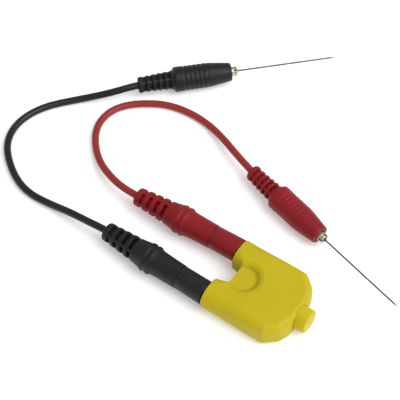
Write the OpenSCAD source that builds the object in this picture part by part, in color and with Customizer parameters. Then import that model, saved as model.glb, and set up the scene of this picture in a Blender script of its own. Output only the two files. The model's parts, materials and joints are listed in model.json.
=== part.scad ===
// Pair of needle back-probe leads plugged onto a hand-held adapter with a
// momentary push button. Millimetres, +Z up. The origin is the centre of the
// adapter's underside; +X runs from the plug legs to the button, and the red
// lead is on the +Y side.

/* [Adapter housing] */
// Length of the housing without the button
body_l = 39.6; // [38:0.2:42]
// Width of the housing over both legs
body_w = 39; // [38.4:0.1:40]
// Height of the housing
body_h = 13.2; // [13:0.1:15]
// Rounding of the long edges
edge_r = 5; // [3:0.5:6]
// Wall thickness of the moulded shell
wall = 1.8; // [1.4:0.1:2]
// Thickness of the base cover
cover_t = 1.2; // [1:0.1:1.4]
// Radius of the finger dish at its rim
dish_r = 7.6; // [7:0.1:8]
// Radius of the flat floor of the finger dish
dish_floor_r = 5; // [4:0.1:5]
// Depth of the finger dish
dish_d = 2.6; // [2.4:0.1:3.2]
// Depth of the notch between the legs
notch_d = 5.6; // [5:0.1:6.5]

/* [Button] */
// Diameter of the push button
button_d = 11; // [10:0.1:11]
// Length of the button outside the housing
button_out = 5.3; // [4:0.1:6]
// Travel of the push button
button_travel = 2; // [1:0.1:2]
// Wire diameter of the return spring
spring_wire = 0.6; // [0.5:0.1:0.8]
// Turns of the return spring
spring_turns = 3.5; // [3:0.5:3.5]

/* [Plug pins] */
// Half the distance between the two plug pins at the leg ends
plug_y = 13.5; // [13.2:0.05:13.6]
// Angle by which each plug leans towards the middle, in degrees
toe_in = 1.5; // [0:0.1:2]
// Diameter of the contact pin over its spring cage
pin_d = 4; // [3.9:0.05:4]
// Length of the contact pin outside the leg
pin_l = 19; // [17:0.5:20]

/* [Socket ends] */
// Height of the plug axis above the underside
plug_z = 7; // [7:0.1:7.2]
// Outer diameter of the socket's insulating sleeve at its mouth
sleeve_d = 11.2; // [10.8:0.1:11.4]
// Length of the sleeve that stands out of the grip
sleeve_out = 15; // [13:0.2:16]
// Overall length from the sleeve's mouth to the cord exit
socket_l = 56.6; // [56.4:0.2:58]
// Outer diameter of the two grip rings
ring_d = 13.9; // [13.4:0.1:14]
// Number of slot rows along the strain relief
socket_slots = 4; // [3:1:4]

/* [Probes] */
// Height of the probe axis above the underside
probe_z = 6.2; // [6.2:0.1:6.4]
// Largest diameter of the probe barrel
barrel_d = 12.4; // [12:0.1:12.4]
// Overall length of the probe moulding
probe_l = 46.9; // [46.7:0.1:47.1]
// Number of ridges on the barrel
ridges = 5; // [4:1:5]
// Number of slot rows along the probe's strain relief
probe_slots = 5; // [4:1:5]
// Diameter of the needle collet
collet_d = 4.7; // [4.4:0.1:4.8]
// Length of the collet outside the barrel
collet_out = 3.1; // [2.5:0.1:3.5]
// Diameter of the opening in the barrel's nose round the collet
nose_bore = 5.9; // [5:0.1:6]

/* [Needles] */
// Diameter of both needles
needle_d = 0.8; // [0.6:0.05:0.8]
// Length of the black needle outside its collet
black_needle_l = 50.4; // [30:0.2:52]
// Length of the red needle outside its collet
red_needle_l = 46.4; // [30:0.2:52]
// Length of the ground point
point_l = 2.5; // [1.5:0.1:3]

/* [Cords] */
// Outer diameter of each cord
cord_d = 3.5; // [3:0.1:3.5]
// Diameter of the stranded copper core
core_d = 2.2; // [1.6:0.1:2.2]

/* [Hidden] */

YELLOW = [0.79, 0.71, 0.18];
BLACK = [0.17, 0.17, 0.17];
RED = [0.55, 0.18, 0.2];
REDCORD = [0.68, 0.2, 0.2];
IVORY = [0.85, 0.83, 0.76];
BRASS = [0.8, 0.66, 0.3];
NICKEL = [0.66, 0.65, 0.58];
STEEL = [0.6, 0.6, 0.6];
COPPER = [0.72, 0.45, 0.28];

// The two sides: black lead at -Y, red lead at +Y
BLK = -1;
RD = 1;

leg_x = -body_l / 2;
end_x = body_l / 2;
web_x = leg_x + notch_d;
half_w = body_w / 2;
dish_x = web_x + 4.2;
cav_z0 = 2.4;
cav_z1 = body_h - wall;
wall_leg = 2.5;
clr = 0.05;

// Plan of one half of the outline, from the leg end round to the button end:
// [x, y, corner radius]. The sides lean in a little towards the button.
half_plan = [
    [leg_x, 5.5, 0.5], [leg_x, half_w, 2.2],
    [12, half_w - 0.9, 1.8], [18, half_w - 5.9, 1.6], [end_x, 9.4, 1.2]];
notch_plan = [[web_x, 5.3, 0.5]];

function unit(v) = v / norm(v);
// Points of an arc that rounds corner b between neighbours a and c
function corner(a, b, c, r, n = 5) =
    let (u = unit(a - b), v = unit(c - b),
         half = acos(u * v) / 2,
         t = r / tan(half),
         p = b + u * t, q = b + v * t,
         o = b + unit(u + v) * (r / sin(half)))
    [for (i = [0:n])
        let (k = i / n, w = unit((p - o) * sin((1 - k) * (180 - 2 * half))
                               + (q - o) * sin(k * (180 - 2 * half))))
        o + w * r];
function round_plan(p) =
    [for (i = [0:len(p) - 1])
        let (a = p[(i + len(p) - 1) % len(p)], b = p[i], c = p[(i + 1) % len(p)])
        each corner([a[0], a[1]], [b[0], b[1]], [c[0], c[1]], b[2])];
function flip(p) = [for (i = [len(p) - 1:-1:0]) [p[i][0], -p[i][1], p[i][2]]];

body_plan = concat(notch_plan, half_plan, flip(half_plan), flip(notch_plan));

// Rounded rectangle with its centre at the origin
function round_rect(w, h, r, n = 8) =
    [for (q = [0:3]) for (i = [0:n])
        let (a = q * 90 + i * 90 / n,
             cx = (q == 0 || q == 3 ? 1 : -1) * (w / 2 - r),
             cy = (q < 2 ? 1 : -1) * (h / 2 - r))
        [cx + r * cos(a), cy + r * sin(a)]];

// A solid of revolution about local X from [x, r] points
module xrev(p, n = 64)
    rotate([0, 90, 0]) rotate_extrude($fn = n)
        polygon([for (q = p) [q[1], q[0]]]);
// A cylinder about local X
module xcyl(x0, x1, d, d2 = -1, n = 48)
    translate([x0, 0, 0]) rotate([0, 90, 0])
        cylinder(h = x1 - x0, d1 = d, d2 = d2 < 0 ? d : d2, $fn = n);
// A block along X with the long edges rounded as seen from the end
module xblock(x0, x1, w, z0, z1, r)
    translate([x0, 0, (z0 + z1) / 2]) rotate([90, 0, 90])
        linear_extrude(x1 - x0) polygon(round_rect(w, z1 - z0, r));
// Local frame of a plug: origin at the leg end, +X runs back along the plug
module plug_frame(side)
    translate([leg_x, side * plug_y, plug_z]) rotate([0, 0, 180 + side * toe_in])
        children();

// Where the probes lie: cord exit and heading of each
black_rear = [-117, 66.9];
black_turn = 45.3;
red_rear = [-40.9, 53.9];
red_turn = -14.9;
module probe_frame(side)
    translate([side < 0 ? black_rear[0] : red_rear[0],
               side < 0 ? black_rear[1] : red_rear[1], probe_z])
        rotate([0, 0, side < 0 ? black_turn : red_turn]) children();

// ---- Adapter ------------------------------------------------------------

module plan_prism(z0, z1)
    translate([0, 0, z0]) linear_extrude(z1 - z0) polygon(round_plan(body_plan));

// Outline of the cavity, of the base cover and of the opening above it
cavity_plan = [
    [-17.3, 8.6], [-17.3, 16.9], [10.7, 16.9], [17.2, 12], [18.6, 8],
    [18.6, -8], [17.2, -12], [10.7, -16.9], [-17.3, -16.9], [-17.3, -8.6],
    [-12.6, -6.6], [-12.6, 6.6]];
function cover_plan(g) = [
    [-11.8 - g, 13.4 + g], [10 + g / 2, 13.4 + g], [16.4 + g, 8.6 + g / 2],
    [16.4 + g, -8.6 - g / 2], [10 + g / 2, -13.4 - g], [-11.8 - g, -13.4 - g]];
screw_at = [[8.5, 10.9], [8.5, -10.9], [-8.6, 0]];

module housing_shell() color(YELLOW) difference() {
    union() {
        difference() {
            intersection() {
                plan_prism(0, body_h);
                xblock(leg_x - 1, end_x + 1, body_w, 0, body_h, edge_r);
            }
            // finger dish
            translate([dish_x, 0, body_h - dish_d]) rotate_extrude($fn = 64)
                polygon(concat([[0, 0]],
                    [for (i = [0:6]) let (a = i * 15)
                        [dish_floor_r + (dish_r - dish_floor_r) * sin(a),
                         dish_d * (1 - cos(a))]],
                    [[dish_r, dish_d + 1], [0, dish_d + 1]]));
            // cavity, with the dish standing down into it
            difference() {
                intersection() {
                    translate([0, 0, cav_z0]) linear_extrude(cav_z1 - cav_z0)
                        polygon(cavity_plan);
                    xblock(leg_x, end_x, body_w - 2 * wall, cav_z0, cav_z1, edge_r - wall);
                }
                translate([dish_x, 0, body_h - dish_d - 1.6])
                    cylinder(h = 3.2, r1 = 5.9, r2 = 8.2, $fn = 64);
            }
            // opening in the underside and the seat of the cover
            translate([0, 0, -1]) linear_extrude(cover_t + 1) polygon(cover_plan(0.1));
            linear_extrude(cav_z0 + 0.5) polygon(cover_plan(-1.5));
        }
        // screw bosses
        for (s = screw_at)
            translate([s[0], s[1], cover_t]) cylinder(h = (s[1] == 0 ? 9.4 : cav_z1 + 0.2) - cover_t, d = 4.8, $fn = 48);
    }
    for (s = screw_at)
        translate([s[0], s[1], 0]) cylinder(h = 8, d = 1.8, $fn = 32);
    // bores for the contact pins
    for (side = [BLK, RD]) plug_frame(side) xcyl(-4, 1, 5.06);
    // bore for the button
    translate([0, 0, plug_z]) xcyl(end_x - 4, end_x + 1, button_d + 0.16, n = 64);
}

module base_cover() color(YELLOW) difference() {
    linear_extrude(cover_t) polygon(cover_plan(0));
    for (s = screw_at) translate([s[0], s[1], -1]) {
        cylinder(h = cover_t + 2, d = 2.3, $fn = 32);
        cylinder(h = 1.75, d = 4.3, $fn = 48);
    }
}

// Self-tapping pan head screws
module cover_screws() color(STEEL) for (s = screw_at)
    translate([s[0], s[1], 0]) difference() {
        union() {
            translate([0, 0, 0.1]) cylinder(h = 0.64, d = 4, $fn = 48);
            translate([0, 0, 0.7]) cylinder(h = 6, d = 1.7, $fn = 32);
        }
        for (a = [0, 90]) rotate([0, 0, a])
            translate([-1.3, -0.22, -0.1]) cube([2.6, 0.44, 0.5]);
    }

flange_x = 17;
stem_x = 4.95;
module push_button() color(YELLOW) translate([0, 0, plug_z]) {
    xrev([[stem_x - 0.8, 0], [stem_x - 0.8, 1.3], [stem_x, 1.3], [stem_x, 2.5],
          [flange_x, 2.5], [flange_x, 4.2], [flange_x + 1.5, 4.2],
          [flange_x + 1.5, button_d / 2],
          [end_x + button_out - 0.8, button_d / 2],
          [end_x + button_out - 0.25, button_d / 2 - 0.25],
          [end_x + button_out, button_d / 2 - 0.8], [end_x + button_out, 0]]);
    translate([flange_x, -7.4, -4.2]) cube([1.5, 14.8, 8.4]);
}

module bridge_contact() color(BRASS) translate([stem_x - 0.8, 0, plug_z]) difference() {
    translate([0, -5.6, -1.8]) cube([0.8, 11.2, 3.6]);
    xcyl(-1, 2, 2.6);
}

module switch_body() color(IVORY) difference() {
    translate([-1, -7.5, cover_t + clr]) cube([13, 15, cav_z1 - cover_t - 2 * clr]);
    translate([1.5, -6.2, 0]) cube([7, 12.4, 9.7]);
    translate([0, 0, plug_z]) xcyl(8, 13, 5.1);
    for (y = [-4, 4]) translate([0, y, plug_z]) xcyl(-2, 2, 2.44);
}

// Coil spring round the stem, as a swept tube
spring_r = 3.7;
spring_x0 = 12 + spring_wire / 2 + 0.03;
spring_x1 = flange_x - spring_wire / 2 - 0.03;
function coil(n) = [for (i = [0:n]) let (k = i / n, a = 360 * spring_turns * k)
    [spring_x0 + (spring_x1 - spring_x0) * k, spring_r * cos(a), plug_z + spring_r * sin(a)]];

// Rings of points round a path, and the tube through them
function tangent(p, i) = unit(p[min(i + 1, len(p) - 1)] - p[max(i - 1, 0)]);
function ring_about(c, t, ref, r, n) =
    let (s = unit(cross(t, ref)), u = cross(s, t))
    [for (j = [0:n - 1]) let (a = 360 * j / n) c + r * (cos(a) * s + sin(a) * u)];
module tube_along(p, r, n, ref) {
    m = len(p);
    pts = [for (i = [0:m - 1]) each ring_about(p[i], tangent(p, i), ref, r, n)];
    faces = concat(
        [[for (j = [0:n - 1]) j]],
        [for (i = [0:m - 2]) for (j = [0:n - 1])
            [i * n + j, (i + 1) * n + j, (i + 1) * n + (j + 1) % n, i * n + (j + 1) % n]],
        [[for (j = [n - 1:-1:0]) (m - 1) * n + j]]);
    polyhedron(points = pts, faces = faces, convexity = 10);
}

module return_spring() color(STEEL)
    tube_along(coil(56), spring_wire / 2, 8, [1, 0, 0]);

module contact_strip(side) color(BRASS) difference() {
    union() {
        translate([-15.85, side > 0 ? 11.3 : -15.9, 4.8]) cube([0.6, 4.6, 4.4]);
        translate([-15.85, side > 0 ? 15.3 : -15.9, 5.5]) cube([14.8, 0.6, 3]);
        translate([-1.65, side > 0 ? 2.6 : -15.9, 5.5]) cube([0.6, 13.3, 3]);
        translate([0, side * 4, plug_z]) xcyl(-1.3, 1.6, 2.4);
        translate([0, side * 4, plug_z]) xcyl(1.52, 2.1, 3.4);
    }
    plug_frame(side) xcyl(-7, -1, 3.1);
}
module black_contact_strip() contact_strip(BLK);
module red_contact_strip() contact_strip(RD);

module plug_pin(side) color(NICKEL) plug_frame(side)
    xrev([[-5.3, 0], [-5.3, 1.5], [-3.82, 1.5], [-3.82, 3.2], [-2.62, 3.2],
          [-2.62, 2.5], [0.8, 2.5], [0.8, pin_d / 2], [1.6, pin_d / 2], [1.6, 1.5],
          [pin_l - 2.4, 1.5], [pin_l - 2.4, pin_d / 2], [pin_l - 0.8, pin_d / 2],
          [pin_l, pin_d / 2 - 0.7], [pin_l, 0]]);
module black_pin() plug_pin(BLK);
module red_pin() plug_pin(RD);

// Slotted spring sleeve between the two shoulders of the pin
module pin_cage(side) color(NICKEL) plug_frame(side) difference() {
    xcyl(1.65, pin_l - 2.45, pin_d);
    xcyl(1, pin_l, 3.06);
    for (i = [0:2]) rotate([60 * i, 0, 0])
        translate([3.4, -3, -0.3]) cube([pin_l - 7.6, 6, 0.6]);
}
module black_pin_cage() pin_cage(BLK);
module red_pin_cage() pin_cage(RD);

// ---- Socket ends ---------------------------------------------------------

// Pockets cut round a strain relief: stations x, width w, floor radius r,
// with four webs left at roll angle a
module pockets(xs, w, r, a, web) for (x = xs) difference() {
    xcyl(x - w / 2, x + w / 2, 16);
    xcyl(x - w, x + w, 2 * r);
    for (k = [0:1]) rotate([a + 90 * k, 0, 0])
        translate([x - w, -8, -web / 2]) cube([2 * w, 16, web]);
}

ring_r = ring_d / 2;
grip_profile = [
    [sleeve_out, 5.4], [sleeve_out + 0.2, 5.6], [22, 5.75], [26.3, 5.95],
    [27.8, 6.12], [28.7, 6.35], [29, ring_r - 0.2], [29.3, ring_r], [30.2, ring_r],
    [30.5, ring_r - 0.2], [30.7, 6.5], [31.8, 6.5], [32, ring_r - 0.2],
    [32.3, ring_r], [33.2, ring_r], [33.5, ring_r - 0.2], [33.8, 6.5], [34.5, 6.38],
    [36, 6.08], [37.4, 5.84], [39.1, 5.65], [42.2, 5.48], [46.3, 5.18], [50.6, 4.85],
    [54.4, 4.55], [55.8, 4.35], [56.2, 4.05], [socket_l, 3.4]];
module socket_grip(side, roll) plug_frame(side) difference() {
    xrev(concat([[sleeve_out, 0]], grip_profile, [[socket_l, 0]]));
    xcyl(sleeve_out - 1, 31.8, 10.06, n = 64);
    xcyl(31.5, 36.3, 5);
    xcyl(36.1, socket_l + 1, cord_d + 0.1);
    pockets([for (i = [0:socket_slots - 1]) 40.45 + 4.08 * i], 1.7, 2.7, roll, 1.5);
}
module black_socket_grip() color(BLACK) socket_grip(BLK, 40);
module red_socket_grip() color(RED) socket_grip(RD, 6.2);

module socket_sleeve(side) plug_frame(side) difference() {
    xrev([[0.3, 0], [0.3, sleeve_d / 2 - 0.35], [0.6, sleeve_d / 2],
          [sleeve_out - 0.05, sleeve_d / 2 - 0.18], [sleeve_out - 0.05, 5],
          [31.7, 5], [31.7, 0]]);
    xcyl(-1, 33, 5.5);
    xcyl(1.2, 33, 6.04);
}
module black_socket_sleeve() color(BLACK) socket_sleeve(BLK);
module red_socket_sleeve() color(RED) socket_sleeve(RD);

module socket_tube(side) color(BRASS) plug_frame(side) difference() {
    union() {
        xcyl(1.25, 29, 6);
        xcyl(28.5, 35.9, 4.4);
    }
    xcyl(-1, 26, pin_d + 0.08);
    xcyl(30.7, 37, 2.6);
}
module black_socket_tube() socket_tube(BLK);
module red_socket_tube() socket_tube(RD);

// ---- Probes ---------------------------------------------------------------

barrel_r = barrel_d / 2;
ridge_p = 2.3;
probe_profile = concat(
    [[0, 3.1], [0.3, 3.55], [0.9, 3.85], [2.4, 3.92], [4.8, 4.02], [7.8, 4.15],
     [10.8, 4.3], [13.8, 4.45], [16.4, 4.62], [17.4, 4.75], [17.8, 5.4], [18.3, 6.05],
     [18.8, barrel_r], [22.2, barrel_r], [22.7, 6.1], [23, 5.82]],
    [for (i = [0:ridges - 1]) each [
        [23.4 + ridge_p * i, 5.82], [23.7 + ridge_p * i, 6.12],
        [24.9 + ridge_p * i, 6.12], [25.2 + ridge_p * i, 5.82]]],
    [[34.8, 5.82], [35.2, 5.98], [35.9, 5.92], [38, 5.65], [40, 5.38],
     [42, 5.1], [44, 4.8], [45.7, 4.55], [46.4, 4.35], [46.6, 4.1], [probe_l, 3.6]]);
module probe_grip(side, roll) probe_frame(side) difference() {
    xrev(concat([[0, 0]], probe_profile, [[probe_l, 0]]));
    xcyl(-1, 21, cord_d + 0.1);
    xcyl(20.8, 45.1, 6.06);
    xcyl(44.5, probe_l + 1, nose_bore);
    pockets([for (i = [0:probe_slots - 1]) 3.3 + 3.03 * i], 1.4, 2.5, roll, 1.5);
}
module black_probe_grip() color(BLACK) probe_grip(BLK, 33.5);
module red_probe_grip() color(RED) probe_grip(RD, 51.4);

module needle_holder(side) color(BRASS) probe_frame(side) difference() {
    xcyl(21, 45, 6);
    xcyl(20, 25, 2.6);
    xcyl(36, 46, 3.1);
}
module black_needle_holder() needle_holder(BLK);
module red_needle_holder() needle_holder(RD);

collet_end = probe_l + collet_out;
// The needle's thicker root, which the collet grips, and where it ends
root_r = 0.6;
root_end = collet_end + 0.2;
module needle_collet(side) color(NICKEL) probe_frame(side) difference() {
    union() {
        xcyl(37, 45.3, 3.04);
        xrev([[45.1, 0], [45.1, collet_d / 2], [collet_end - 0.4, collet_d / 2],
              [collet_end, collet_d / 2 - 0.4], [collet_end, 0]]);
    }
    xcyl(36, collet_end + 1, 2 * root_r + 0.06);
    for (a = [0, 90]) rotate([a, 0, 0])
        translate([probe_l + 0.9, -3, -0.4]) cube([4, 6, 0.8]);
}
module black_needle_collet() needle_collet(BLK);
module red_needle_collet() needle_collet(RD);

module needle_of(side, l) color(STEEL) probe_frame(side)
    xrev([[38, 0], [38, root_r], [root_end, root_r], [root_end, needle_d / 2],
          [collet_end + l - point_l, needle_d / 2], [collet_end + l, 0.04],
          [collet_end + l, 0]], n = 32);
module black_needle() needle_of(BLK, black_needle_l);
module red_needle() needle_of(RD, red_needle_l);

// ---- Cords ------------------------------------------------------------------

// A point d along a plug behind its leg end, and a point d along a probe
function on_plug(side, d) = [leg_x - d * cos(toe_in),
    side * (plug_y - d * sin(toe_in)), plug_z];
function on_probe(side, d) =
    let (p = side < 0 ? black_rear : red_rear, a = side < 0 ? black_turn : red_turn)
    [p[0] + d * cos(a), p[1] + d * sin(a), probe_z];

// Hand-set points of each route between the two mouldings
black_way = [
    [-87.7, -12.5, 6.4], [-95.9, -12.3, 4.9], [-104.1, -12.4, 3.2], [-112.3, -12.8, 2.1],
    [-120.5, -12.9, 1.8], [-128.6, -11.2, 1.8], [-136.1, -7.5, 1.8], [-142.8, -2.7, 1.8],
    [-148.4, 3.2, 1.8], [-151.9, 10.6, 1.8], [-152.6, 18.7, 1.8], [-150.7, 26.8, 1.8],
    [-147, 34, 1.8], [-141.9, 40.6, 1.8], [-136.2, 46.6, 2.3], [-129.9, 52.1, 3.8],
    [-124, 57.6, 5.4]];
red_way = [
    [-87, 12.4, 6.5], [-94.7, 14.8, 5.2], [-102, 18.2, 3.8], [-108.5, 22.7, 2.5],
    [-114.3, 28.4, 1.8], [-118.8, 35.2, 1.8], [-120.6, 43.1, 1.8], [-119, 50.9, 1.8],
    [-114.4, 57.5, 1.8], [-108.1, 62.7, 1.8], [-101.1, 66.7, 1.8], [-93.3, 68.9, 1.8],
    [-85.1, 69.6, 1.8], [-77.1, 68.8, 2], [-69.3, 66.4, 3.1], [-62, 63.2, 4.5],
    [-54.5, 59.6, 5.7]];
function route(side) = concat(
    [on_plug(side, 38.2), on_plug(side, 47), on_plug(side, 56.3)],
    side < 0 ? black_way : red_way,
    [on_probe(side, -3.5), on_probe(side, 6), on_probe(side, 16)]);
// Catmull-Rom curve through the route, n rings to each stretch
function spline(p, n) = [for (i = [0:len(p) - 2]) for (k = [0:n - (i == len(p) - 2 ? 0 : 1)])
    let (t = k / n, a = p[max(i - 1, 0)], b = p[i], c = p[i + 1], d = p[min(i + 2, len(p) - 1)])
    0.5 * (2 * b + (c - a) * t + (2 * a - 5 * b + 4 * c - d) * t * t
           + (3 * b - a - 3 * c + d) * t * t * t)];
// The curve's ends follow the straight stretches inside the mouldings
function full_path(side) =
    let (r = route(side), m = len(r), s = spline(r, 2))
    concat([r[0], r[1]], [for (i = [4:2 * (m - 1) - 4]) s[i]], [r[m - 2], r[m - 1]]);

module cord(side) tube_along(full_path(side), cord_d / 2, 8, [0, 0, 1]);
module black_cord() color(BLACK) cord(BLK);
module red_cord() color(REDCORD) cord(RD);

module core_ends(side) color(COPPER) {
    plug_frame(side) xcyl(30.9, 38.1, core_d);
    probe_frame(side) xcyl(16.1, 24.8, core_d);
}
module black_core_ends() core_ends(BLK);
module red_core_ends() core_ends(RD);

// ---- Assembly -----------------------------------------------------------------

housing_shell();
base_cover();
cover_screws();
push_button();
return_spring();
bridge_contact();
switch_body();
black_contact_strip();
red_contact_strip();
black_pin();
red_pin();
black_pin_cage();
red_pin_cage();
black_socket_grip();
black_socket_sleeve();
black_socket_tube();
black_cord();
black_core_ends();
black_probe_grip();
black_needle_holder();
black_needle_collet();
black_needle();
red_socket_grip();
red_socket_sleeve();
red_socket_tube();
red_cord();
red_core_ends();
red_probe_grip();
red_needle_holder();
red_needle_collet();
red_needle();
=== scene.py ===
"""Looks for a pair of needle back-probe leads plugged onto a push-button adapter.

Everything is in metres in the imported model's frame. Shapes are worked out in
millimetres and scaled once, when a mesh is made.
"""

import json
import math

import bpy
import numpy as np
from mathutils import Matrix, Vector


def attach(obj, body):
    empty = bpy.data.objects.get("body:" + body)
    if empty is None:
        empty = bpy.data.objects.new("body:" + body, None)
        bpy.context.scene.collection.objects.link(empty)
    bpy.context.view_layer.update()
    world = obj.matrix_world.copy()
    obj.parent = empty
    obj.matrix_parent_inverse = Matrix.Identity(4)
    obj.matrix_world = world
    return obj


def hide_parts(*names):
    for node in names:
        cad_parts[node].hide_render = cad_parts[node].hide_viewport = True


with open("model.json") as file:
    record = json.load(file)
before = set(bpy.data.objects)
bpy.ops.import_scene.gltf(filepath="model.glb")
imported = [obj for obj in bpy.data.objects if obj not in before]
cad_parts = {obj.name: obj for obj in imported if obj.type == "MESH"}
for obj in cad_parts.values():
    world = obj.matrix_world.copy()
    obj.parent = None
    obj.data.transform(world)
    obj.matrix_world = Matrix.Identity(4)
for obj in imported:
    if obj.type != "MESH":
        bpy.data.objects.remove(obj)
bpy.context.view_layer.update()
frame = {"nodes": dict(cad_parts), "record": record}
MM = 0.001
SIDES = {"black": -1, "red": 1}

# ---- camera -----------------------------------------------------------------

cam_data = bpy.data.cameras.new("camera")
cam_data.lens = 117.0
cam_data.sensor_width = 36.0
cam_data.clip_start = 0.01
cam_data.clip_end = 10.0
camera = bpy.data.objects.new("camera", cam_data)
bpy.context.collection.objects.link(camera)
eye = Vector((0.1482, -0.2604, 0.4969))
look_at = Vector((-0.0543, 0.0305, 0.0))
camera.location = eye
camera.rotation_euler = (look_at - eye).to_track_quat("-Z", "Y").to_euler()
bpy.context.scene.camera = camera

# ---- where the plugs and probes lie --------------------------------------------

LEG_X, PLUG_Y, PLUG_Z, TOE_IN = -19.8, 13.5, 7.0, 1.5
PROBE_Z = 6.2
PROBE_REAR = {"black": (-117.0, 66.9, PROBE_Z), "red": (-40.9, 53.9, PROBE_Z)}
PROBE_TURN = {"black": 45.3, "red": -14.9}
SOCKET_L, PROBE_L = 56.6, 46.9
# How far the cord pulls the tip of each strain relief sideways: socket, probe
SAG = {"black": (0.0, -0.5), "red": (0.3, 0.4)}
RELIEF = (17.0, 17.0)


def turned(points, origin, degrees):
    """Points given in a local frame (+X along the axis) placed in the row frame."""
    a = math.radians(degrees)
    c, s = math.cos(a), math.sin(a)
    r = np.array([[c, -s, 0.0], [s, c, 0.0], [0.0, 0.0, 1.0]])
    return np.asarray(points, float) @ r.T + np.asarray(origin, float)


def plug_place(colour):
    side = SIDES[colour]
    return (LEG_X, side * PLUG_Y, PLUG_Z), 180.0 + side * TOE_IN


def probe_place(colour):
    return PROBE_REAR[colour], PROBE_TURN[colour]


def sag(colour, end, back):
    """Sideways offset at a distance back from the tip of a strain relief."""
    left = np.maximum((RELIEF[end] - np.asarray(back, float)) / RELIEF[end], 0)
    return SAG[colour][end] * left ** 3


def on_plug(colour, d):
    return turned([[d, sag(colour, 0, SOCKET_L - d), 0]], *plug_place(colour))[0]


def on_probe(colour, d):
    return turned([[d, sag(colour, 1, d), 0]], *probe_place(colour))[0]


# ---- cords ------------------------------------------------------------------------

CORD_D = 3.5
WAY = {
    "black": [
        (-87.7, -12.5, 6.4), (-95.9, -12.3, 4.9), (-104.1, -12.4, 3.2), (-112.3, -12.8, 2.1),
        (-120.5, -12.9, 1.8), (-128.6, -11.2, 1.8), (-136.1, -7.5, 1.8), (-142.8, -2.7, 1.8),
        (-148.4, 3.2, 1.8), (-151.9, 10.6, 1.8), (-152.6, 18.7, 1.8), (-150.7, 26.8, 1.8),
        (-147, 34, 1.8), (-141.9, 40.6, 1.8), (-136.2, 46.6, 2.3), (-129.9, 52.1, 3.8),
        (-124, 57.6, 5.4)],
    "red": [
        (-87, 12.4, 6.5), (-94.7, 14.8, 5.2), (-102, 18.2, 3.8), (-108.5, 22.7, 2.5),
        (-114.3, 28.4, 1.8), (-118.8, 35.2, 1.8), (-120.6, 43.1, 1.8), (-119, 50.9, 1.8),
        (-114.4, 57.5, 1.8), (-108.1, 62.7, 1.8), (-101.1, 66.7, 1.8), (-93.3, 68.9, 1.8),
        (-85.1, 69.6, 1.8), (-77.1, 68.8, 2), (-69.3, 66.4, 3.1), (-62, 63.2, 4.5),
        (-54.5, 59.6, 5.7)],
}


def spline_tangents(p):
    """Tangents of the smooth curve through the points (continuous curvature)."""
    n = len(p)
    a = np.zeros((n, n))
    b = np.zeros((n, 3))
    for i in range(1, n - 1):
        h0 = np.linalg.norm(p[i] - p[i - 1])
        h1 = np.linalg.norm(p[i + 1] - p[i])
        a[i, i - 1], a[i, i], a[i, i + 1] = h1, 2 * (h0 + h1), h0
        b[i] = 3 * (h1 * (p[i] - p[i - 1]) / h0 + h0 * (p[i + 1] - p[i]) / h1)
    a[0, 0] = a[-1, -1] = 1.0
    b[0] = (p[1] - p[0]) / np.linalg.norm(p[1] - p[0])
    b[-1] = (p[-1] - p[-2]) / np.linalg.norm(p[-1] - p[-2])
    return np.linalg.solve(a, b)


def make_cord(colour):
    p = np.array(
        [on_plug(colour, 38.2), on_plug(colour, 47.0), on_plug(colour, 56.3)]
        + [np.array(w, float) for w in WAY[colour]]
        + [on_probe(colour, -3.5), on_probe(colour, 6.0), on_probe(colour, 16.0)])
    t = spline_tangents(p)
    cu = bpy.data.curves.new(colour + "_cord_jacket", "CURVE")
    cu.dimensions = "3D"
    cu.resolution_u = 10
    cu.bevel_depth = CORD_D / 2 * MM
    cu.bevel_resolution = 8
    cu.use_fill_caps = True
    sp = cu.splines.new("BEZIER")
    sp.bezier_points.add(len(p) - 1)
    for i, bp in enumerate(sp.bezier_points):
        before = np.linalg.norm(p[i] - p[i - 1]) if i else np.linalg.norm(p[1] - p[0])
        after = np.linalg.norm(p[i + 1] - p[i]) if i < len(p) - 1 else before
        bp.handle_left_type = bp.handle_right_type = "FREE"
        bp.co = Vector(p[i] * MM)
        bp.handle_left = Vector((p[i] - t[i] * before / 3) * MM)
        bp.handle_right = Vector((p[i] + t[i] * after / 3) * MM)
    ob = bpy.data.objects.new(colour + "_cord_jacket", cu)
    bpy.context.collection.objects.link(ob)
    # length along the curve
    total = 0.0
    for i in range(len(p) - 1):
        h = np.linalg.norm(p[i + 1] - p[i])
        c1, c2 = p[i] + t[i] * h / 3, p[i + 1] - t[i + 1] * h / 3
        s = np.linspace(0, 1, 17)[:, None]
        q = ((1 - s) ** 3 * p[i] + 3 * (1 - s) ** 2 * s * c1
             + 3 * (1 - s) * s ** 2 * c2 + s ** 3 * p[i + 1])
        total += np.linalg.norm(np.diff(q, axis=0), axis=1).sum()
    return ob, total


cords = {}
for colour in SIDES:
    cords[colour] = make_cord(colour)

# ---- mesh helpers -------------------------------------------------------------------


def mesh_piece(name, verts_mm, faces, sharp=38.0):
    me = bpy.data.meshes.new(name)
    me.from_pydata((np.asarray(verts_mm) * MM).tolist(), [], faces)
    me.validate()
    me.polygons.foreach_set("use_smooth", [True] * len(me.polygons))
    if sharp:
        me.set_sharp_from_angle(angle=math.radians(sharp))
    me.update()
    ob = bpy.data.objects.new(name, me)
    bpy.context.collection.objects.link(ob)
    return ob


def ring_faces(rows, n, closed):
    """Quads between successive rings of n points, the first inside being row 0."""
    faces = []
    last = rows if closed else rows - 1
    for i in range(last):
        a, b = i * n, ((i + 1) % rows) * n
        for j in range(n):
            k = (j + 1) % n
            faces.append((a + j, a + k, b + k, b + j))
    return faces


def grid_piece(name, rings, place, sharp=38.0):
    """A closed band of rings (a tube with a bore) in the local frame of an axis."""
    rings = np.asarray(rings)
    m, n = rings.shape[:2]
    verts = turned(rings.reshape(-1, 3), *place)
    return mesh_piece(name, verts, ring_faces(m, n, True), sharp)


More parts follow.
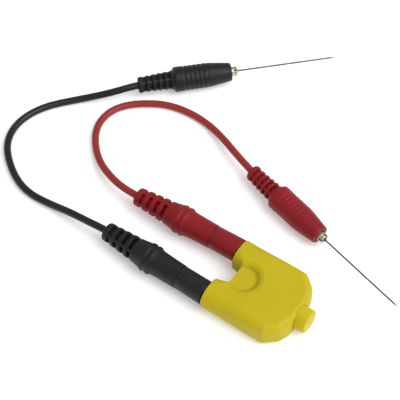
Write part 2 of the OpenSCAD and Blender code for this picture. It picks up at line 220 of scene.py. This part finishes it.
def revolved(name, profile, place, n=96, sharp=38.0):
    """A solid of revolution from (x, r) points. r = 0 at both ends closes it on
    the axis; otherwise the profile is a closed loop round a bore."""
    ang = np.arange(n) * 2 * math.pi / n
    verts, faces, rows = [], [], []
    for x, r in profile:
        if r <= 1e-9:
            rows.append([len(verts)])
            verts.append((x, 0, 0))
        else:
            rows.append(list(range(len(verts), len(verts) + n)))
            verts += [(x, r * math.cos(a), r * math.sin(a)) for a in ang]
    loop = profile[0][1] > 1e-9
    for i in range(len(rows) if loop else len(rows) - 1):
        a, b = rows[i], rows[(i + 1) % len(rows)]
        for j in range(n):
            k = (j + 1) % n
            if len(a) == 1 and len(b) == 1:
                break
            if len(a) == 1:
                faces.append((a[0], b[k], b[j]))
            elif len(b) == 1:
                faces.append((a[j], a[k], b[0]))
            else:
                faces.append((a[j], a[k], b[k], b[j]))
    return mesh_piece(name, turned(verts, *place), faces, sharp)


def arc(cx, cr, radius, a0, a1, n=5):
    """Points (x, r) along an arc; 0 degrees points along +x, 90 outward."""
    return [(cx + radius * math.cos(math.radians(a0 + (a1 - a0) * i / n)),
             cr + radius * math.sin(math.radians(a0 + (a1 - a0) * i / n)))
            for i in range(n + 1)]


def soft_curve(points, sigma, lo, hi):
    """Straight stretches between (x, r) points with softened corners."""
    xs = np.arange(lo - 2, hi + 2, 0.02)
    p = np.array(points, float)
    y = np.interp(xs, p[:, 0], p[:, 1])
    half = int(4 * sigma / 0.02)
    k = np.exp(-0.5 * (np.arange(-half, half + 1) * 0.02 / sigma) ** 2)
    k /= k.sum()
    y = np.convolve(np.pad(y, half, mode="edge"), k, mode="valid")
    return lambda u: np.interp(u, xs, y)


def step(x, a, b):
    t = np.clip((x - a) / (b - a), 0, 1)
    return t * t * (3 - 2 * t)


def pick_rows(curves, lo, hi, tol=0.008, du=0.02, longest=1.2):
    """Stations along the axis, close together only where the shape needs it."""
    u = np.arange(lo, hi + du / 2, du)
    u[-1] = hi
    y = np.stack([c(u) for c in curves], 1)
    keep = {0, len(u) - 1}
    stack = [(0, len(u) - 1)]
    while stack:
        a, b = stack.pop()
        if b - a < 2:
            continue
        w = ((u[a:b + 1] - u[a]) / (u[b] - u[a]))[:, None]
        err = np.abs(y[a:b + 1] - (y[a] * (1 - w) + y[b] * w)).max(axis=1)
        if err.max() < tol and u[b] - u[a] < longest:
            continue
        m = a + (int(err.argmax()) if err.max() >= tol else (b - a) // 2)
        m = min(max(m, a + 1), b - 1)
        keep.add(m)
        stack += [(a, m), (m, b)]
    return u[sorted(keep)]


# ---- soft mouldings with pocketed strain reliefs ------------------------------------

# Angles from the middle of a web, close together at its edges
WEB_STEPS = [0, 3.2, 5.8, 7.2, 8.2, 9.0, 9.8, 10.8, 12.4, 15.5, 20.5, 26.5, 33, 39, 45]


def column_angles(roll):
    cols = []
    for k in range(4):
        for s in WEB_STEPS[:-1]:
            cols.append(roll + 90 * k + s)
        for s in reversed(WEB_STEPS[1:]):
            cols.append(roll + 90 * k + 90 - s)
    return np.radians(np.array(cols)), np.array(
        [s for k in range(4) for s in WEB_STEPS[:-1] + list(reversed(WEB_STEPS[1:]))])


def moulding(name, place, env, pockets, width, floor_r, dip, roll, lo, hi,
             front_loop, rear_loop, lean):
    """env(u) is the outer radius; pockets are cut between four webs. front_loop
    and rear_loop are (u, r) points that carry the surface into the bore, and
    lean(u) is the sideways offset of the axis."""
    def across(u):
        return sum(step(width / 2 + 0.17 - np.abs(u - c), 0, 0.34) for c in pockets)

    def waist(u):
        return sum(step(width / 2 + 0.75 - np.abs(u - c), 0, 1.1) for c in pockets)

    def web_r(u):
        return env(u) - dip * waist(u)

    rows = pick_rows([web_r, lambda u: web_r(u) - (web_r(u) - floor_r) * across(u) * 0.9],
                     lo, hi)
    ang, off = column_angles(roll)
    n = len(ang)
    between = step(off, 7.4, 10.6)
    rings = []

    def plain(u, r):
        rings.append(np.stack([np.full(n, u), r * np.cos(ang), r * np.sin(ang)], 1))

    for u, r in front_loop:
        plain(u, r)
    for u in rows:
        w = float(web_r(np.array([u]))[0])
        a = float(across(np.array([u]))[0])
        # the rings between pockets are crowned a little above the webs
        r = w - (w - floor_r) * a * between
        rings.append(np.stack([np.full(n, u), r * np.cos(ang), r * np.sin(ang)], 1))
    for u, r in rear_loop:
        plain(u, r)
    rings = np.array(rings)[:, ::-1]
    rings[..., 1] += lean(rings[..., 0])
    return grid_piece(name, rings, place, sharp=50)


SOCKET_ENV = soft_curve([
    (15.0, 5.68), (17.5, 5.74), (22.0, 5.87), (26.3, 6.05), (27.8, 6.2), (28.7, 6.4),
    (29.0, 6.86), (29.35, 6.97), (30.05, 6.97), (30.4, 6.88), (30.65, 6.6), (31.15, 6.54),
    (31.75, 6.6), (32.0, 6.88), (32.35, 6.97), (33.05, 6.97), (33.4, 6.85),
    (33.7, 6.52), (34.5, 6.4), (36.0, 6.1), (37.4, 5.86), (39.1, 5.68), (42.2, 5.52),
    (46.3, 5.2), (50.6, 4.86), (54.4, 4.56), (56.6, 4.4)], 0.13, 15.0, SOCKET_L)
SOCKET_POCKETS = [40.45, 44.5, 48.6, 52.7]


def socket_grip(colour, roll):
    end = SOCKET_L - 0.95
    rear_r = float(SOCKET_ENV(end))
    front = [(31.8, 5.03), (15.05, 5.03), (15.0, 5.08)] + arc(15.08, 5.6, 0.08, 180, 90, 4)[:-1]
    rear = arc(end, rear_r - 0.95, 0.95, 90, 0, 7)[1:] + [
        (SOCKET_L, 2.35), (SOCKET_L - 0.08, 2.05), (SOCKET_L - 0.35, 1.83), (36.3, 1.81),
        (36.0, 2.5), (31.8, 2.5)]
    return moulding(colour + "_socket_boot", plug_place(colour), SOCKET_ENV,
                    SOCKET_POCKETS, 1.8, 2.95, 0.18, roll, 15.08, end, front, rear,
                    lambda u: sag(colour, 0, SOCKET_L - u))


RIDGES = [24.3, 26.6, 28.9, 31.2, 33.5]
PROBE_SHAPE = soft_curve([
    (0, 3.95), (1.3, 4.02), (2.4, 4.02), (4.8, 4.1), (7.8, 4.25), (10.8, 4.4),
    (13.8, 4.52), (16.6, 4.72), (17.4, 4.8), (17.7, 5.15), (18.15, 5.95), (18.5, 6.2),
    (19.1, 6.25), (22.3, 6.25), (22.75, 6.17), (23.1, 5.9), (34.3, 5.9), (34.8, 5.9),
    (35.2, 6.05), (35.9, 5.99), (38, 5.72), (40, 5.45), (42, 5.17), (44, 4.88),
    (46, 4.6), (46.9, 4.47)], 0.13, 0, PROBE_L)


def probe_env(u):
    u = np.asarray(u, float)
    r = PROBE_SHAPE(u)
    for c in RIDGES:
        r = r + 0.26 * np.exp(-(np.abs(u - c) / 0.88) ** 4.0)
    return r


PROBE_POCKETS = [3.25, 6.3, 9.3, 12.35, 15.35]


def probe_grip(colour, roll):
    front = [(20.6, 3.04), (20.6, 1.81), (0.45, 1.81), (0.12, 2.0), (0.0, 2.3)] \
        + arc(0.8, 3.97 - 0.8, 0.8, 180, 90, 6)[:-1]
    end = PROBE_L - 0.85
    nose_r = float(probe_env(end))
    rear = arc(end, nose_r - 0.85, 0.85, 80, 0, 7)[0:] + [
        (PROBE_L, 3.3), (PROBE_L - 0.05, 2.62), (PROBE_L - 0.2, 2.48), (PROBE_L - 0.9, 2.46),
        (PROBE_L - 1.35, 2.46), (PROBE_L - 1.5, 3.04)]
    return moulding(colour + "_probe_barrel", probe_place(colour), probe_env,
                    PROBE_POCKETS, 1.45, 2.55, 0.42, roll, 0.8, end, front, rear,
                    lambda u: sag(colour, 1, u))


pieces = {}
WEB_ROLL = {"black": (40.0, 33.5), "red": (6.2, 51.4)}
for colour in SIDES:
    pieces[colour + "_socket_grip"] = socket_grip(colour, WEB_ROLL[colour][0])
    pieces[colour + "_probe_grip"] = probe_grip(colour, WEB_ROLL[colour][1])
    # rigid insulating sleeve with a lipped mouth
    pieces[colour + "_socket_sleeve"] = revolved(
        colour + "_sleeve_tube",
        [(0.42, 2.95)] + [(0.4, 3.2), (0.4, 5.05)] + arc(0.9, 5.13, 0.5, 180, 90, 5)
        + [(3, 5.63), (9, 5.57), (14.94, 5.52), (14.97, 5.49), (14.98, 5.0),
           (31.65, 5.0), (31.7, 4.95), (31.7, 3.06), (31.65, 3.02), (1.25, 3.02),
           (1.22, 2.98), (1.2, 2.78), (0.8, 2.75), (0.5, 2.78)],
        plug_place(colour), 96, 50)

# ---- smooth solids from distance functions ---------------------------------------------


def rmax(a, b, r):
    """Intersection of two distance fields with an edge of radius r."""
    return (np.minimum(np.maximum(a, b) + r, 0)
            + np.hypot(np.maximum(a + r, 0), np.maximum(b + r, 0)) - r)


def rmin(a, b, r):
    return -rmax(-a, -b, r)


def surface_piece(name, f, lo, hi, h, place=None, relax=3, sharp=42.0):
    """The zero surface of f as a closed quad mesh, pulled onto the surface."""
    ax = [np.arange(lo[i], hi[i] + h, h) for i in range(3)]
    gx, gy, gz = np.meshgrid(*ax, indexing="ij")
    d = f(gx.ravel(), gy.ravel(), gz.ravel()).reshape(gx.shape)
    d[np.abs(d) < 1e-6] = 1e-6
    shape = np.array(d.shape)
    cells = tuple(shape - 1)
    acc = np.zeros(cells + (3,))
    cnt = np.zeros(cells)
    crossings = []
    pos = np.stack([gx, gy, gz], -1)
    for a in range(3):
        s0 = [slice(None)] * 3
        s1 = [slice(None)] * 3
        s0[a], s1[a] = slice(0, -1), slice(1, None)
        d0, d1 = d[tuple(s0)], d[tuple(s1)]
        cross = (d0 < 0) != (d1 < 0)
        t = np.where(cross, d0 / np.where(cross, d0 - d1, 1), 0)
        p = pos[tuple(s0)].copy()
        p[..., a] += t * h
        crossings.append((cross, d0 < 0))
        o1, o2 = (a + 1) % 3, (a + 2) % 3
        for i in (0, 1):
            for j in (0, 1):
                s = [slice(None)] * 3
                s[o1] = slice(i, shape[o1] - 1 + i)
                s[o2] = slice(j, shape[o2] - 1 + j)
                c = cross[tuple(s)]
                cnt += c
                acc += p[tuple(s)] * c[..., None]
    used = cnt > 0
    index = np.full(cells, -1)
    index[used] = np.arange(used.sum())
    v = acc[used] / cnt[used][:, None]
    quads = []
    for a in range(3):
        cross, inside = crossings[a]
        o1, o2 = (a + 1) % 3, (a + 2) % 3
        at = np.argwhere(cross)
        at = at[(at[:, o1] > 0) & (at[:, o2] > 0)
                & (at[:, o1] < cells[o1]) & (at[:, o2] < cells[o2])]
        corner = []
        for i, j in ((1, 1), (0, 1), (0, 0), (1, 0)):
            q = at.copy()
            q[:, o1] -= i
            q[:, o2] -= j
            corner.append(index[q[:, 0], q[:, 1], q[:, 2]])
        q = np.stack(corner, 1)
        flip = ~inside[at[:, 0], at[:, 1], at[:, 2]]
        q[flip] = q[flip][:, ::-1]
        quads.append(q)
    quads = np.concatenate(quads)

    def pull(v, times):
        e = 0.02
        for _ in range(times):
            d = f(v[:, 0], v[:, 1], v[:, 2])
            g = np.stack([
                f(v[:, 0] + e, v[:, 1], v[:, 2]) - f(v[:, 0] - e, v[:, 1], v[:, 2]),
                f(v[:, 0], v[:, 1] + e, v[:, 2]) - f(v[:, 0], v[:, 1] - e, v[:, 2]),
                f(v[:, 0], v[:, 1], v[:, 2] + e) - f(v[:, 0], v[:, 1], v[:, 2] - e)], 1) / (2 * e)
            g2 = np.maximum((g ** 2).sum(1), 0.25)
            m = g * (d / g2)[:, None]
            length = np.linalg.norm(m, axis=1)
            m *= np.minimum(1, 0.5 * h / np.maximum(length, 1e-9))[:, None]
            v = v - m
        return v

    v = pull(v, 3)
    edges = np.concatenate([quads[:, [0, 1]], quads[:, [1, 2]], quads[:, [2, 3]], quads[:, [3, 0]]])
    deg = np.bincount(edges.ravel(), minlength=len(v))
    for _ in range(relax):
        total = np.zeros_like(v)
        for k in range(3):
            total[:, k] = (np.bincount(edges[:, 0], v[edges[:, 1], k], len(v))
                           + np.bincount(edges[:, 1], v[edges[:, 0], k], len(v)))
        v = v + 0.6 * (total / deg[:, None] - v)
        v = pull(v, 2)
    if place is not None:
        v = turned(v, *place)
    return mesh_piece(name, v, quads.tolist(), sharp)


def beyond(x, y, p, q):
    """Signed distance outside the edge from p to q of an outline with the
    solid on the side of the origin."""
    nx, ny = q[1] - p[1], -(q[0] - p[0])
    s = math.hypot(nx, ny)
    nx, ny = nx / s, ny / s
    if nx * (0 - p[0]) + ny * (0 - p[1]) > 0:
        nx, ny = -nx, -ny
    return (x - p[0]) * nx + (y - p[1]) * ny


def housing(x, y, z):
    ay = np.abs(y)
    # the sides lean in with the plugs
    d_plan = rmax(beyond(x, ay, (-19.8, 19.5), (12.1, 18.6)),
                  beyond(x, ay, (12.1, 18.6), (18.1, 13.5)), 1.0)
    d_plan = rmax(d_plan, beyond(x, ay, (18.1, 13.5), (19.9, 9.2)), 1.0)
    d_plan = rmax(d_plan, x - 19.8, 0.8)
    height = np.abs(z - 6.6) - 6.6
    # the legs are rounder than the far end, and the edge is tightest at the button
    roll = 6.4 - 2.2 * step(x, -18.0, 11.0)
    roll = roll - 1.8 * step(x, 12.0, 17.0) * (1 - step(ay, 4.5, 10.5))
    body = rmax(d_plan, height, roll)
    # the notch between the legs
    leg = rmax(5.3 - ay, height, 6.0 - 2.8 * step(x, -19.8, -14.6))
    inner = rmin(leg, -14.15 - x, 1.5)
    solid = rmax(np.maximum(body, inner), LEG_X - x, 0.5)
    # finger dish
    rho = np.hypot(x + 9.6, y)
    slope = math.radians(54)
    cone = (rho - 5.75) * math.sin(slope) - (z - 10.6) * math.cos(slope)
    dish = rmax(cone, 10.6 - z, 0.7)
    solid = rmax(solid, -dish, 0.3 + 1.1 * step(rho, 5.4, 7.2))
    # cavity, following the walls
    cav = rmax(ay - 16.9, beyond(x, ay, (10.7, 16.9), (17.2, 12)), 0.6)
    cav = np.maximum(cav, beyond(x, ay, (17.2, 12), (18.6, 8)))
    cav = rmax(cav, x - 18.6, 0.3)
    cav = rmax(cav, -17.3 - x, 0.3)
    cav = rmax(cav, inner + 1.6, 0.3)
    cav = rmax(cav, np.abs(z - 6.9) - 4.5, 0.6)
    cav = rmax(cav, body + 1.8, 0.3)
    cav = rmax(cav, -(dish - 1.6), 0.3)
    solid = rmax(solid, -cav, 0.25)
    # opening in the underside with the cover's seat
    def cover(g):
        c = np.maximum(-11.8 - g - x, ay - (13.4 + g))
        c = np.maximum(c, beyond(x, ay, (10 + g / 2, 13.4 + g), (16.4 + g, 8.6 + g / 2)))
        return np.maximum(c, x - (16.4 + g))
    solid = rmax(solid, -rmax(cover(0.1), z - 1.2, 0.02), 0.12)
    solid = rmax(solid, -rmax(cover(-1.5), z - 3.2, 0.02), 0.2)
    # screw bosses with their holes
    for bx, by, top in ((8.5, 10.9, 11.8), (-8.6, 0.0, 9.6)):
        rb = np.hypot(x - bx, ay - by)
        boss = rmax(rmax(rb - 2.4, 1.2 - z, 0.2), z - top, 0.2)
        solid = rmin(solid, boss, 0.2)
        solid = rmax(solid, -rmax(rb - 0.9, z - 8, 0.1), 0.1)
    # bores for the pins and the button
    a = math.radians(TOE_IN)
    u = -(x - LEG_X) * math.cos(a) - (ay - PLUG_Y) * math.sin(a)
    w = -(x - LEG_X) * math.sin(a) + (ay - PLUG_Y) * math.cos(a)
    bore = rmax(np.hypot(w, z - PLUG_Z) - 2.53, np.abs(u + 1.5) - 2.5, 0.05)
    solid = rmax(solid, -bore, 0.2)
    hole = rmax(np.hypot(y, z - 7) - 5.58, np.abs(x - 18.95) - 3.75, 0.05)
    return rmax(solid, -hole, 0.05)


pieces["housing_shell"] = surface_piece(
    "housing_moulding", housing, (-20.6, -20.1, -0.7), (20.5, 20.1, 13.9), 0.33)


def button(x, y, z):
    r = np.hypot(y, z - 7)
    crown = x - 25.25 + 0.008 * r * r
    cap = rmax(rmax(r - 5.54, crown, 0.7), 17.3 - x, 0.1)
    plate = rmax(rmax(np.abs(y) - 7.4, np.abs(z - 7) - 4.1, 0.8), np.abs(x - 17.75) - 0.75, 0.2)
    stem = rmax(r - 2.5, np.abs(x - 11) - 6.05, 0.2)
    tip = rmax(r - 1.28, np.abs(x - 5) - 0.85, 0.15)
    d = rmin(cap, plate, 0.15)
    d = rmin(d, stem, 0.25)
    return rmin(d, tip, 0.1)


pieces["push_button"] = surface_piece(
    "button_cap", button, (3.9, -7.9, 1.0), (25.8, 7.9, 13.0), 0.25)


def collet_field(roll):
    c0, s0 = math.cos(math.radians(roll)), math.sin(math.radians(roll))

    def f(x, y, z):
        r = np.hypot(y, z)
        head = rmax(rmax(r - 2.4, x - 50.0, 0.6), 46.4 - x, 0.2)
        neck = rmax(rmax(r - 2.1, x - 48.5, 0.1), 45.48 - x, 0.15)
        shank = rmax(rmax(r - 1.5, x - 45.7, 0.1), 37.2 - x, 0.3)
        d = rmin(rmin(head, neck, 0.12), shank, 0.1)
        # a fine turned groove round the head
        d = rmax(d, -(np.hypot(r - 2.47, x - 48.55) - 0.18), 0.06)
        # cross slots and the hole for the needle
        yy, zz = y * c0 + z * s0, -y * s0 + z * c0
        for q in (yy, zz):
            d = rmax(d, -rmax(np.abs(q) - 0.34, 48.0 - x, 0.1), 0.12)
        return rmax(d, -rmax(r - 0.47, 46.4 - x, 0.02), 0.06)
    return f


for colour, roll in (("black", 120.5), ("red", 68.4)):
    pieces[colour + "_needle_collet"] = surface_piece(
        colour + "_collet_nose", collet_field(roll), (37.0, -2.6, -2.6), (50.4, 2.6, 2.6),
        0.11, probe_place(colour), relax=2)

NEEDLE_END = {"black": 50.0 + 50.4, "red": 50.0 + 46.4}
for colour in SIDES:
    e = NEEDLE_END[colour]
    pieces[colour + "_needle"] = revolved(
        colour + "_needle_rod",
        [(47.1, 0), (47.1, 0.34), (47.15, 0.38), (47.3, 0.4), (e - 2.6, 0.4),
         (e - 2.3, 0.385), (e - 0.25, 0.075), (e - 0.06, 0.04), (e, 0.0)],
        probe_place(colour), 32, 50)

# ---- materials ------------------------------------------------------------------------


def srgb(r, g, b):
    return tuple(c / 12.92 if c <= 0.04045 else ((c + 0.055) / 1.055) ** 2.4
                 for c in (r, g, b)) + (1.0,)


class Nodes:
    def __init__(self, name):
        self.mat = bpy.data.materials.new(name)
        self.mat.use_nodes = True
        self.tree = self.mat.node_tree
        self.bsdf = self.tree.nodes["Principled BSDF"]
        self.pos = self.add("ShaderNodeTexCoord").outputs["Object"]

    def add(self, kind, **values):
        n = self.tree.nodes.new(kind)
        for k, v in values.items():
            setattr(n, k, v)
        return n

    def link(self, a, b):
        self.tree.links.new(a, b)

    def noise(self, scale, detail=3.0, rough=0.5, where=None):
        n = self.add("ShaderNodeTexNoise")
        n.inputs["Scale"].default_value = scale
        n.inputs["Detail"].default_value = detail
        n.inputs["Roughness"].default_value = rough
        self.link(where or self.pos, n.inputs["Vector"])
        return n.outputs["Fac"]

    def span(self, fac, lo, hi, a=0.3, b=0.7):
        n = self.add("ShaderNodeMapRange")
        n.inputs["From Min"].default_value = a
        n.inputs["From Max"].default_value = b
        n.inputs["To Min"].default_value = lo
        n.inputs["To Max"].default_value = hi
        self.link(fac, n.inputs["Value"])
        return n.outputs["Result"]

    def mix(self, fac, a, b):
        n = self.add("ShaderNodeMix", data_type="RGBA")
        for sock, v in ((6, a), (7, b)):
            if isinstance(v, tuple):
                n.inputs[sock].default_value = v
            else:
                self.link(v, n.inputs[sock])
        if isinstance(fac, float):
            n.inputs[0].default_value = fac
        else:
            self.link(fac, n.inputs[0])
        return n.outputs[2]

    def bump(self, height, strength, distance, normal=None):
        n = self.add("ShaderNodeBump")
        n.inputs["Strength"].default_value = strength
        n.inputs["Distance"].default_value = distance
        self.link(height, n.inputs["Height"])
        if normal is not None:
            self.link(normal, n.inputs["Normal"])
        return n.outputs["Normal"]


def plastic(name, colour, light, dark, rough, grain, grain_depth, spec=0.5, wear=0.25,
            sheen=0.0):
    """Moulded plastic: slow colour drift, fine grain, scuffed edges."""
    m = Nodes(name)
    slow = m.noise(55.0, 2.0)
    col = m.mix(m.span(slow, 0.0, 1.0), dark, light)
    fine = m.noise(grain, 3.0, 0.6)
    col = m.mix(m.span(fine, 0.0, 0.10), col, tuple(c * 0.6 for c in colour[:3]) + (1.0,))
    # handling scuffs are paler, and gather on edges
    geo = m.add("ShaderNodeNewGeometry")
    edge = m.span(geo.outputs["Pointiness"], 0.0, 1.0, 0.51, 0.60)
    patch = m.span(m.noise(420.0, 4.0, 0.65), 0.0, 1.0, 0.5, 0.72)
    worn = m.add("ShaderNodeMath", operation="MULTIPLY")
    m.link(edge, worn.inputs[0])
    m.link(patch, worn.inputs[1])
    worn2 = m.add("ShaderNodeMath", operation="MULTIPLY")
    m.link(worn.outputs[0], worn2.inputs[0])
    worn2.inputs[1].default_value = wear
    pale = tuple(min(1.0, c * 1.25 + 0.03) for c in colour[:3]) + (1.0,)
    m.link(m.mix(worn2.outputs[0], col, pale), m.bsdf.inputs["Base Color"])
    r = m.span(m.noise(160.0, 3.0, 0.6), rough - 0.05, rough + 0.06)
    m.link(r, m.bsdf.inputs["Roughness"])
    n1 = m.bump(fine, 0.35, grain_depth)
    n2 = m.bump(m.noise(90.0, 1.0), 0.25, 0.00025, n1)
    m.link(n2, m.bsdf.inputs["Normal"])
    m.bsdf.inputs["Specular IOR Level"].default_value = spec
    if sheen:
        m.bsdf.inputs["Sheen Weight"].default_value = sheen
        m.bsdf.inputs["Sheen Roughness"].default_value = 0.5
    return m.mat


def metal(name, colour, dark, rough, scale=900.0, turned_axis=None, spread=0.08):
    """Plated or drawn metal with fine streaks and a little tarnish."""
    m = Nodes(name)
    tarn = m.noise(260.0, 4.0, 0.6)
    col = m.mix(m.span(tarn, 0.0, 1.0, 0.42, 0.75), colour, dark)
    m.link(col, m.bsdf.inputs["Base Color"])
    m.bsdf.inputs["Metallic"].default_value = 1.0
    streak = m.noise(scale, 2.0, 0.5)
    m.link(m.span(streak, rough - spread, rough + spread), m.bsdf.inputs["Roughness"])
    m.link(m.bump(streak, 0.2, 0.00002), m.bsdf.inputs["Normal"])
    return m.mat


def tint(c, k):
    return tuple(min(1.0, v * k) for v in c[:3]) + (1.0,)


YELLOW = srgb(0.727, 0.653, 0.042)
RED = srgb(0.51, 0.065, 0.095)
RED_CORD = srgb(0.57, 0.155, 0.15)
BLACK = srgb(0.07, 0.067, 0.07)
BLACK_SLEEVE = srgb(0.07, 0.067, 0.072)
IVORY = srgb(0.90, 0.88, 0.80)

MATS = {
    "yellow_housing": plastic("yellow_moulding", YELLOW, tint(YELLOW, 1.03), tint(YELLOW, 0.96),
                              0.5, 2600.0, 0.00002, 0.25, 0.2),
    # painted light: the cap is the housing's own yellow plastic, made about 10 % lighter to stand
    # in for the light it catches
    "yellow_button": plastic("yellow_cap_painted_light", tint(YELLOW, 1.1), tint(YELLOW, 1.14),
                             tint(YELLOW, 1.06), 0.46, 2600.0, 0.00002, 0.25, 0.2),
    "yellow_cover": plastic("yellow_cover", YELLOW, tint(YELLOW, 1.0), tint(YELLOW, 0.93),
                            0.5, 1800.0, 0.00004, 0.3, 0.2),
    "black_soft": plastic("black_soft_pvc", BLACK, tint(BLACK, 1.15), tint(BLACK, 0.85),
                          0.48, 3000.0, 0.00003, 0.32, 0.5),
    "black_sleeve": plastic("black_sleeve", BLACK_SLEEVE, tint(BLACK_SLEEVE, 1.1),
                            tint(BLACK_SLEEVE, 0.9), 0.44, 2500.0, 0.00002, 0.34, 0.3),
    "black_cord": plastic("black_jacket", BLACK, tint(BLACK, 0.9), tint(BLACK, 0.7),
                          0.38, 1500.0, 0.00003, 0.38, 0.0),
    "red_soft": plastic("red_soft_pvc", RED, tint(RED, 1.08), tint(RED, 0.9),
                        0.5, 3000.0, 0.00003, 0.25, 0.4),
    "red_sleeve": plastic("red_sleeve", RED, tint(RED, 1.08), tint(RED, 0.9),
                          0.48, 2500.0, 0.00002, 0.26, 0.3),
    "red_cord": plastic("red_jacket", RED_CORD, tint(RED_CORD, 1.05), tint(RED_CORD, 0.92),
                        0.42, 1500.0, 0.00003, 0.3, 0.0),
    "ivory_switch": plastic("ivory_block", IVORY, tint(IVORY, 1.0), tint(IVORY, 0.95),
                            0.5, 2500.0, 0.00002, 0.4, 0.1),
    "brass_contact": metal("brass", srgb(0.86, 0.72, 0.42), srgb(0.66, 0.52, 0.30), 0.3),
    "plated_pin": metal("nickel_pin", srgb(0.80, 0.79, 0.75), srgb(0.62, 0.61, 0.56), 0.24),
    "plated_collet": metal("nickel_collet", srgb(0.76, 0.76, 0.68), srgb(0.50, 0.50, 0.42),
                           0.30),
    "needle_steel": metal("needle_steel", srgb(0.42, 0.42, 0.41), srgb(0.33, 0.33, 0.32), 0.34,
                          1400.0),
    "spring_steel": metal("spring_steel", srgb(0.62, 0.62, 0.62), srgb(0.45, 0.45, 0.45), 0.3),
    "zinc_screw": metal("zinc_screw", srgb(0.72, 0.72, 0.74), srgb(0.55, 0.55, 0.56), 0.34),
    "copper_core": metal("copper", srgb(0.80, 0.52, 0.36), srgb(0.58, 0.36, 0.25), 0.35),
}


def dress(ob, mat):
    ob.data.materials.clear()
    ob.data.materials.append(mat)


slot_of = {s["node"]: s["material_slot"] for s in frame["record"]["subparts"]}
bodies = {n: b for b, ns in frame["record"]["behaviour"]["bodies"].items() for n in ns}

for node, ob in pieces.items():
    slot = slot_of[node]
    dress(ob, MATS[slot])
    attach(ob, bodies[node])
    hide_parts(node)

for colour, (ob, length) in cords.items():
    node = colour + "_cord"
    dress(ob, MATS[slot_of[node]])
    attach(ob, bodies[node])
    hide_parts(node)
    print("cord", colour, "length mm", round(length, 1))

for node, ob in frame["nodes"].items():
    if node in pieces or node.endswith("_cord"):
        continue
    slot = "yellow_cover" if node == "base_cover" else slot_of[node]
    for s in ob.material_slots:
        s.link = "OBJECT"
        s.material = MATS[slot]

# ---- stage and light -------------------------------------------------------------------

bpy.ops.mesh.primitive_plane_add(size=6.0, location=(0, 0, -0.00005))
floor = bpy.context.object
floor.name = "floor"
fl = Nodes("floor_paper")
fl.bsdf.inputs["Base Color"].default_value = (0.88, 0.88, 0.88, 1)
fl.bsdf.inputs["Roughness"].default_value = 0.95
fl.bsdf.inputs["Specular IOR Level"].default_value = 0.1
fl.bsdf.inputs["Emission Color"].default_value = (1, 1, 1, 1)
fl.bsdf.inputs["Emission Strength"].default_value = 0.26
dress(floor, fl.mat)

world = bpy.data.worlds.new("studio")
bpy.context.scene.world = world
world.use_nodes = True
bg = world.node_tree.nodes["Background"]
bg.inputs["Color"].default_value = (1, 1, 1, 1)
bg.inputs["Strength"].default_value = 0.62

RIGHT = Vector((0.821, 0.571, 0.0))
AWAY = Vector((-0.571, 0.821, 0.0))
UP = Vector((0, 0, 1))


def soft_light(name, direction, distance, size, power, colour=(1, 1, 1)):
    data = bpy.data.lights.new(name, "AREA")
    data.shape = "DISK"
    data.size = size
    data.energy = power
    data.color = colour
    ob = bpy.data.objects.new(name, data)
    bpy.context.collection.objects.link(ob)
    ob.location = look_at + direction.normalized() * distance
    ob.rotation_euler = (look_at - ob.location).to_track_quat("-Z", "Y").to_euler()
    return ob


soft_light("key", RIGHT * 0.8 + AWAY * -0.34 + UP * 1.15, 1.2, 1.1, 12.0)

scene = bpy.context.scene
scene.view_settings.view_transform = "Standard"
scene.view_settings.look = "None"
scene.view_settings.exposure = 0.0
scene.view_settings.gamma = 1.0
